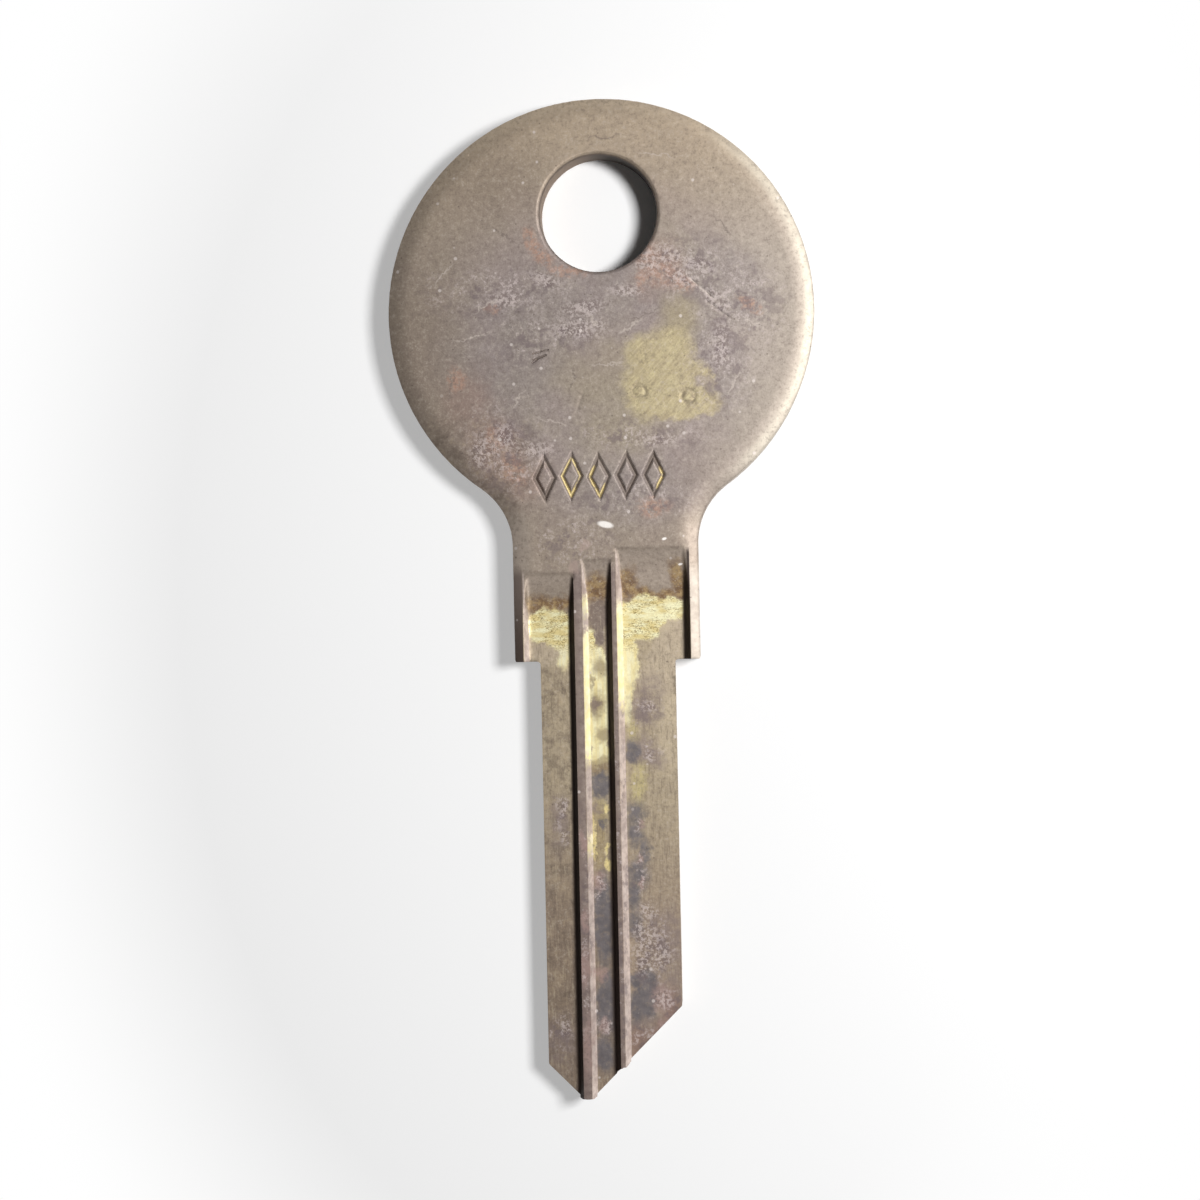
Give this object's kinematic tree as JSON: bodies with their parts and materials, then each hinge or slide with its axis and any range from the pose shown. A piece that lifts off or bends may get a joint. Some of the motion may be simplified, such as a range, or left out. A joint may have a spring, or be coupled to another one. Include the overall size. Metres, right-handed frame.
{
  "type": "key blank",
  "caption": "Uncut brass cylinder-lock key blank with a round bow, ring hole, stepped shoulder and a milled two-ridge blade with a bevelled tip.",
  "frame": {"origin": "on the blade's centre line, in the plane of the shoulder stops, on the flat back face", "axes": "+Y from the stops towards the bow (the blade points to -Y), +Z out of the milled front face, +X across the blade to the right as seen from the front"},
  "size_m": [0.0234, 0.0548, 0.002],
  "materials": {
    "brass": "tarnished and tumbled brass with worn yellow patches"
  },
  "bodies": {
    "root": {"key_blank": "brass"}
  },
  "joints": []
}
